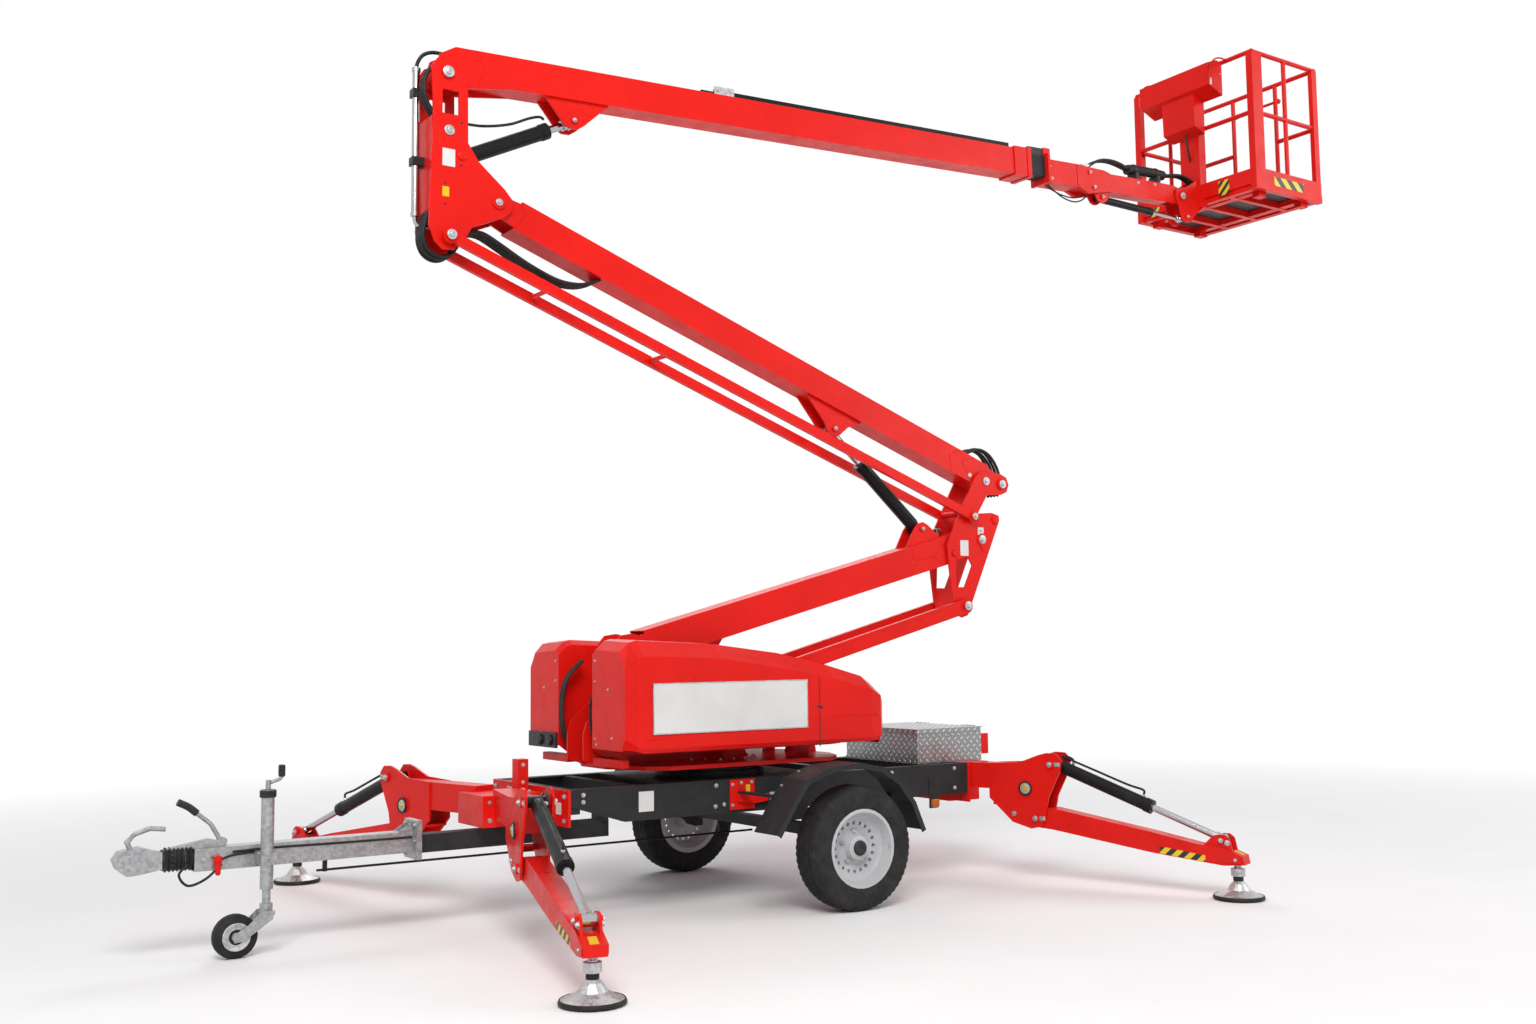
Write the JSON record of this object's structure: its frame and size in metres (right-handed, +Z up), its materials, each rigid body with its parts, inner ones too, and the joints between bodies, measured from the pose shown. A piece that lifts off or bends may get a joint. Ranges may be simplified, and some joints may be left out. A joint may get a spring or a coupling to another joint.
{
  "type": "towable boom lift",
  "caption": "Towable articulated boom lift with telescopic upper boom, work cage, slewing turret, outriggers and drawbar, all jointed.",
  "frame": {"origin": "bottom centre of the bounding box, on the ground", "axes": "+X from the towing coupling toward the cage, +Y toward the far wheel, +Z up"},
  "size_m": [8.3375, 4.1404, 5.7357],
  "materials": {
    "red": "gloss paint",
    "dark_grey": "satin paint",
    "black": "satin paint",
    "zinc": "galvanised",
    "chrome": "polished",
    "silver": "silver paint",
    "chequer_plate": "chequer plate",
    "tyre": "matt",
    "floor_mesh": "dark mesh"
  },
  "bodies": {
    "base": {"chassis": "dark_grey", "drawbar": "zinc", "coupling": "zinc", "jockey_tube": "zinc", "axle": "black", "mudguard_near": "dark_grey", "mudguard_far": "dark_grey", "toolbox": "chequer_plate", "front_frame": "red", "rear_frame": "red", "slew_ring": "black"},
    "wheel_near": {"tyre_near": "tyre", "rim_near": "silver"},
    "wheel_far": {"tyre_far": "tyre", "rim_far": "silver"},
    "jockey_leg": {"jockey_leg": "zinc"},
    "jockey_fork": {"jockey_fork": "zinc"},
    "jockey_wheel": {"jockey_wheel": "tyre"},
    "toolbox_lid": {"toolbox_lid": "chequer_plate"},
    "turret": {"turret_frame": "red", "cover_near": "red", "cover_far": "red"},
    "lower_boom": {"lower_boom": "red"},
    "lower_link": {"lower_link": "red"},
    "knuckle": {"knuckle": "red"},
    "mid_boom": {"mid_boom": "red"},
    "mid_rods": {"mid_rods": "red"},
    "mast": {"mast": "red"},
    "upper_boom": {"upper_boom": "red", "cable_tray": "black"},
    "telescope": {"telescope": "dark_grey", "nose_arm": "red"},
    "cage": {"cage": "red", "cage_floor": "floor_mesh", "console": "red"},
    "cage_bar": {"cage_bar": "red"},
    "arm_front_near": {"arm_front_near": "red", "pad_front_near": "zinc"},
    "barrel_front_near": {"arm_barrel_front_near": "black"},
    "rod_front_near": {"arm_rod_front_near": "chrome"},
    "arm_front_far": {"arm_front_far": "red", "pad_front_far": "zinc"},
    "barrel_front_far": {"arm_barrel_front_far": "black"},
    "rod_front_far": {"arm_rod_front_far": "chrome"},
    "arm_rear_near": {"arm_rear_near": "red", "pad_rear_near": "zinc"},
    "barrel_rear_near": {"arm_barrel_rear_near": "black"},
    "rod_rear_near": {"arm_rod_rear_near": "chrome"},
    "arm_rear_far": {"arm_rear_far": "red", "pad_rear_far": "zinc"},
    "barrel_rear_far": {"arm_barrel_rear_far": "black"},
    "rod_rear_far": {"arm_rod_rear_far": "chrome"},
    "lower_barrel": {"lower_barrel": "black"},
    "lower_rod": {"lower_rod": "chrome"},
    "mid_barrel": {"mid_barrel": "black"},
    "mid_rod": {"mid_rod": "chrome"},
    "upper_barrel": {"upper_barrel": "black"},
    "upper_rod": {"upper_rod": "chrome"},
    "level_barrel": {"level_barrel": "black"},
    "level_rod": {"level_rod": "chrome"}
  },
  "joints": [
    {"name": "wheel_near_spin", "type": "hinge", "parent": "base", "child": "wheel_near", "pos_m": [-0.65375, -0.885, 0.327], "axis": [0, 1, 0], "continuous": true},
    {"name": "wheel_far_spin", "type": "hinge", "parent": "base", "child": "wheel_far", "pos_m": [-0.65375, 0.885, 0.327], "axis": [0, 1, 0], "continuous": true},
    {"name": "jockey_lift", "type": "slide", "parent": "base", "child": "jockey_leg", "axis": [0, 0, 1], "range_m": [0, 0.06]},
    {"name": "jockey_swivel", "type": "hinge", "parent": "jockey_leg", "child": "jockey_fork", "pos_m": [-3.52375, -0.15, 0.2], "axis": [0, 0, 1], "continuous": true},
    {"name": "jockey_wheel_spin", "type": "hinge", "parent": "jockey_fork", "child": "jockey_wheel", "pos_m": [-3.66375, -0.15, 0.1], "axis": [0, 1, 0], "continuous": true},
    {"name": "toolbox_lid_hinge", "type": "hinge", "parent": "base", "child": "toolbox_lid", "pos_m": [0.76725, 0, 0.889], "axis": [0, 1, 0], "range_deg": [0, 95]},
    {"name": "outrigger_front_near", "type": "hinge", "parent": "base", "child": "arm_front_near", "pos_m": [-2.48275, -0.808, 0.375], "axis": [-0.9724, 0.2334, 0], "range_deg": [-6, 44]},
    {"name": "outrigger_barrel_front_near", "type": "hinge", "parent": "base", "child": "barrel_front_near", "pos_m": [-2.50609, -0.90524, 0.69], "axis": [-0.9724, 0.2334, 0], "range_deg": [-7.1, 48.93]},
    {"name": "outrigger_rod_front_near", "type": "slide", "parent": "barrel_front_near", "child": "rod_front_near", "axis": [-0.2183, -0.9093, -0.3542], "range_m": [-0.24743, 0.03806]},
    {"name": "outrigger_front_far", "type": "hinge", "parent": "base", "child": "arm_front_far", "pos_m": [-2.48275, 0.808, 0.375], "axis": [0.9724, 0.2334, 0], "range_deg": [-6, 44]},
    {"name": "outrigger_barrel_front_far", "type": "hinge", "parent": "base", "child": "barrel_front_far", "pos_m": [-2.50609, 0.90524, 0.69], "axis": [0.9724, 0.2334, 0], "range_deg": [-7.1, 48.93]},
    {"name": "outrigger_rod_front_far", "type": "slide", "parent": "barrel_front_far", "child": "rod_front_far", "axis": [-0.2183, 0.9093, -0.3542], "range_m": [-0.24743, 0.03806]},
    {"name": "outrigger_rear_near", "type": "hinge", "parent": "base", "child": "arm_rear_near", "pos_m": [0.78525, -0.826, 0.375], "axis": [-0.9397, -0.342, 0], "range_deg": [-6, 44]},
    {"name": "outrigger_barrel_rear_near", "type": "hinge", "parent": "base", "child": "barrel_rear_near", "pos_m": [0.81945, -0.91997, 0.69], "axis": [-0.9397, -0.342, 0], "range_deg": [-7.1, 48.93]},
    {"name": "outrigger_rod_rear_near", "type": "slide", "parent": "barrel_rear_near", "child": "rod_rear_near", "axis": [0.3198, -0.8788, -0.3542], "range_m": [-0.24743, 0.03806]},
    {"name": "outrigger_rear_far", "type": "hinge", "parent": "base", "child": "arm_rear_far", "pos_m": [0.78525, 0.826, 0.375], "axis": [0.9397, -0.342, 0], "range_deg": [-6, 44]},
    {"name": "outrigger_barrel_rear_far", "type": "hinge", "parent": "base", "child": "barrel_rear_far", "pos_m": [0.81945, 0.91997, 0.69], "axis": [0.9397, -0.342, 0], "range_deg": [-7.1, 48.93]},
    {"name": "outrigger_rod_rear_far", "type": "slide", "parent": "barrel_rear_far", "child": "rod_rear_far", "axis": [0.3198, 0.8788, -0.3542], "range_m": [-0.24743, 0.03806]},
    {"name": "turret_slew", "type": "hinge", "parent": "base", "child": "turret", "pos_m": [-1.00375, 0, 0.75], "axis": [0, 0, 1], "range_deg": [-180, 180]},
    {"name": "lower_boom_lift", "type": "hinge", "parent": "turret", "child": "lower_boom", "pos_m": [-1.57375, 0, 1.37], "axis": [0, -1, 0], "range_deg": [-14.5, 8]},
    {"name": "lower_link_pivot", "type": "hinge", "parent": "turret", "child": "lower_link", "pos_m": [-1.74675, 0, 0.938], "axis": [0, -1, 0], "range_deg": [-15, 8.5]},
    {"name": "knuckle_pivot", "type": "hinge", "parent": "lower_boom", "child": "knuckle", "pos_m": [1.03025, 0, 2.071], "axis": [0, -1, 0], "range_deg": [-8.5, 15]},
    {"name": "lower_barrel_pivot", "type": "hinge", "parent": "turret", "child": "lower_barrel", "pos_m": [-0.35375, 0, 0.85], "axis": [0, -1, 0], "range_deg": [-4.52, 7.79]},
    {"name": "lower_rod_slide", "type": "slide", "parent": "lower_barrel", "child": "lower_rod", "axis": [-0.8059, 0, 0.592], "range_m": [-0.06902, 0.04032]},
    {"name": "mid_boom_lift", "type": "hinge", "parent": "knuckle", "child": "mid_boom", "pos_m": [1.21425, 0, 2.441], "axis": [0, 1, 0], "range_deg": [-15, 8.5]},
    {"name": "mid_rods_pivot", "type": "hinge", "parent": "knuckle", "child": "mid_rods", "pos_m": [0.93425, 0, 2.216], "axis": [0, 1, 0], "range_deg": [-15, 8.5]},
    {"name": "mast_pivot", "type": "hinge", "parent": "mid_boom", "child": "mast", "pos_m": [-2.35675, 0, 3.766], "axis": [0, 1, 0], "range_deg": [-8.5, 15]},
    {"name": "mid_barrel_pivot", "type": "hinge", "parent": "lower_boom", "child": "mid_barrel", "pos_m": [0.56525, 0, 2.128], "axis": [0, -1, 0], "range_deg": [-23.18, 41.61]},
    {"name": "mid_rod_slide", "type": "slide", "parent": "mid_barrel", "child": "mid_rod", "axis": [-0.7532, 0, 0.6578], "range_m": [-0.19061, 0.10741]},
    {"name": "upper_boom_lift", "type": "hinge", "parent": "mast", "child": "upper_boom", "pos_m": [-2.64675, 0, 4.422], "axis": [0, -1, 0], "range_deg": [-2.7, 65]},
    {"name": "upper_barrel_pivot", "type": "hinge", "parent": "mast", "child": "upper_barrel", "pos_m": [-2.56575, 0, 3.985], "axis": [0, -1, 0], "range_deg": [-2.46, 47.77]},
    {"name": "upper_rod_slide", "type": "slide", "parent": "upper_barrel", "child": "upper_rod", "axis": [0.8965, 0, 0.443], "range_m": [-0.02161, 0.4049]},
    {"name": "telescope_slide", "type": "slide", "parent": "upper_boom", "child": "telescope", "axis": [0.9989, 0, 0.0471], "range_m": [0, 2.4]},
    {"name": "cage_level", "type": "hinge", "parent": "telescope", "child": "cage", "pos_m": [3.14625, 0, 4.71], "axis": [0, -1, 0], "range_deg": [-65.5, 3.2]},
    {"name": "level_barrel_pivot", "type": "hinge", "parent": "telescope", "child": "level_barrel", "pos_m": [2.31925, 0, 4.574], "axis": [0, -1, 0], "range_deg": [-0.58, 2.53]},
    {"name": "level_rod_slide", "type": "slide", "parent": "level_barrel", "child": "level_rod", "axis": [0.9998, 0, -0.0183], "range_m": [-0.18191, 0.01235]},
    {"name": "cage_bar_hinge", "type": "hinge", "parent": "cage", "child": "cage_bar", "pos_m": [4.15675, -0.2, 5.6], "axis": [1, 0, 0], "range_deg": [0, 80]}
  ],
  "couplings": [
    {"joint": "outrigger_barrel_front_near", "follows": "outrigger_front_near", "ratio": 1.1007},
    {"joint": "outrigger_rod_front_near", "follows": "outrigger_front_near", "m_per_rad": -0.31568},
    {"joint": "outrigger_barrel_front_far", "follows": "outrigger_front_far", "ratio": 1.1007},
    {"joint": "outrigger_rod_front_far", "follows": "outrigger_front_far", "m_per_rad": -0.31568},
    {"joint": "outrigger_barrel_rear_near", "follows": "outrigger_rear_near", "ratio": 1.1007},
    {"joint": "outrigger_rod_rear_near", "follows": "outrigger_rear_near", "m_per_rad": -0.31568},
    {"joint": "outrigger_barrel_rear_far", "follows": "outrigger_rear_far", "ratio": 1.1007},
    {"joint": "outrigger_rod_rear_far", "follows": "outrigger_rear_far", "m_per_rad": -0.31568},
    {"joint": "lower_link_pivot", "follows": "lower_boom_lift", "ratio": 1},
    {"joint": "knuckle_pivot", "follows": "lower_boom_lift", "ratio": -1},
    {"joint": "lower_barrel_pivot", "follows": "lower_boom_lift", "ratio": -0.50257},
    {"joint": "lower_rod_slide", "follows": "lower_boom_lift", "m_per_rad": 0.25296},
    {"joint": "mid_boom_lift", "follows": "lower_boom_lift", "ratio": 1},
    {"joint": "mid_rods_pivot", "follows": "lower_boom_lift", "ratio": 1},
    {"joint": "mast_pivot", "follows": "lower_boom_lift", "ratio": -1},
    {"joint": "mid_barrel_pivot", "follows": "lower_boom_lift", "ratio": -2.835},
    {"joint": "mid_rod_slide", "follows": "lower_boom_lift", "m_per_rad": 0.73343},
    {"joint": "upper_barrel_pivot", "follows": "upper_boom_lift", "ratio": 0.72724},
    {"joint": "upper_rod_slide", "follows": "upper_boom_lift", "m_per_rad": 0.3525},
    {"joint": "cage_level", "follows": "upper_boom_lift", "ratio": -1},
    {"joint": "level_barrel_pivot", "follows": "upper_boom_lift", "ratio": 0.03121},
    {"joint": "level_rod_slide", "follows": "upper_boom_lift", "m_per_rad": -0.15595}
  ]
}
